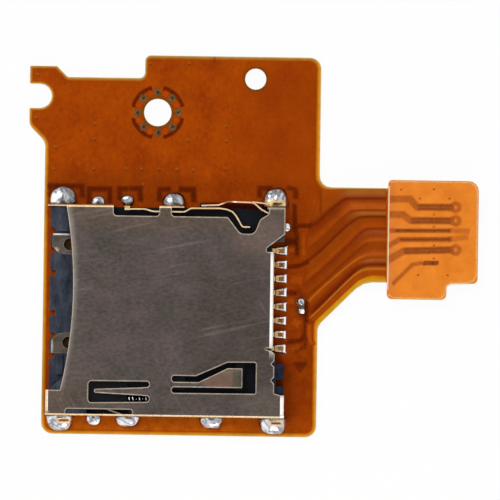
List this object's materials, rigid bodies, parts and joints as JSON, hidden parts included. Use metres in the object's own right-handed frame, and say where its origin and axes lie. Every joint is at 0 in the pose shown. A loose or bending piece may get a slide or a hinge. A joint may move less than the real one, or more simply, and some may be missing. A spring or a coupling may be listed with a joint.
{
  "type": "memory card socket on a flexible board",
  "caption": "Push-push memory card socket with a folded steel shell, soldered on a flexible board that ends in a plug tab.",
  "frame": {"origin": "on the underside of the board's stiffener, below the socket's centre", "axes": "+X is the way the card goes in and points to the plug tab, +Y points to the screw hole, +Z stands up from the board"},
  "size_m": [0.0356, 0.03, 0.0023],
  "materials": {
    "flex_film": "glossy amber polyimide film over copper",
    "stiffener_laminate": "matt brown laminate",
    "tab_film": "glossy orange polyimide",
    "navy_moulding": "fine matt moulding",
    "shell_steel": "satin rolled sheet with bright cut edges",
    "insert_steel": "satin",
    "contact_gold": "thin gold plating",
    "switch_gold": "thin gold plating",
    "slider_plastic": "satin moulding",
    "latch_steel": "bright rolled strip",
    "pin_steel": "bright drawn wire",
    "spring_steel": "bright drawn wire",
    "solder": "bright set solder",
    "chip_ceramic": "fired ceramic with tinned ends",
    "plug_plastic": "fine matt moulding",
    "plug_gold": "thin gold plating"
  },
  "bodies": {
    "socket_on_board": {"flex_board": "flex_film", "board_stiffener": "stiffener_laminate", "tab_stiffener": "tab_film", "socket_housing": "navy_moulding", "shell": "shell_steel", "insert_plate": "insert_steel", "contact_1": "contact_gold", "contact_2": "contact_gold", "contact_3": "contact_gold", "contact_4": "contact_gold", "contact_5": "contact_gold", "contact_6": "contact_gold", "contact_7": "contact_gold", "contact_8": "contact_gold", "detect_spring": "switch_gold", "detect_contact": "switch_gold", "coil_spring": "spring_steel", "shell_solder_1": "solder", "shell_solder_2": "solder", "shell_solder_3": "solder", "shell_solder_4": "solder", "shell_solder_5": "solder", "shell_solder_6": "solder", "shell_solder_7": "solder", "shell_solder_8": "solder", "shell_solder_9": "solder", "tail_solder_1": "solder", "tail_solder_2": "solder", "tail_solder_3": "solder", "tail_solder_4": "solder", "tail_solder_5": "solder", "tail_solder_6": "solder", "tail_solder_7": "solder", "tail_solder_8": "solder", "detect_spring_solder": "solder", "detect_contact_solder": "solder", "capacitor_solder_1": "solder", "capacitor_solder_2": "solder", "chip_capacitor": "chip_ceramic", "plug_housing": "plug_plastic", "plug_contact_1": "plug_gold", "plug_contact_2": "plug_gold", "plug_contact_3": "plug_gold", "plug_contact_4": "plug_gold", "plug_contact_5": "plug_gold", "plug_contact_6": "plug_gold", "plug_contact_7": "plug_gold", "plug_contact_8": "plug_gold", "plug_contact_9": "plug_gold", "plug_contact_10": "plug_gold", "plug_contact_11": "plug_gold", "plug_contact_12": "plug_gold", "plug_contact_13": "plug_gold", "plug_contact_14": "plug_gold", "plug_anchor_1": "plug_gold", "plug_anchor_2": "plug_gold"},
    "slider": {"slider": "slider_plastic", "card_lock_spring": "latch_steel"},
    "cam_pin": {"cam_pin": "pin_steel"}
  },
  "joints": [
    {"name": "slider_travel", "type": "slide", "parent": "socket_on_board", "child": "slider", "axis": [1, 0, 0], "range_m": [0, 0.0038], "stiffness_N_per_m": 150, "deforming": ["coil_spring"]},
    {"name": "cam_pin_swing", "type": "hinge", "parent": "socket_on_board", "child": "cam_pin", "pos_m": [0.006, -0.00576, 0.00182], "axis": [0, 0, -1], "range_deg": [0, 9]}
  ],
  "couplings": [
    {"joint": "cam_pin_swing", "follows": "slider_travel", "rad_per_m": 41.3}
  ]
}
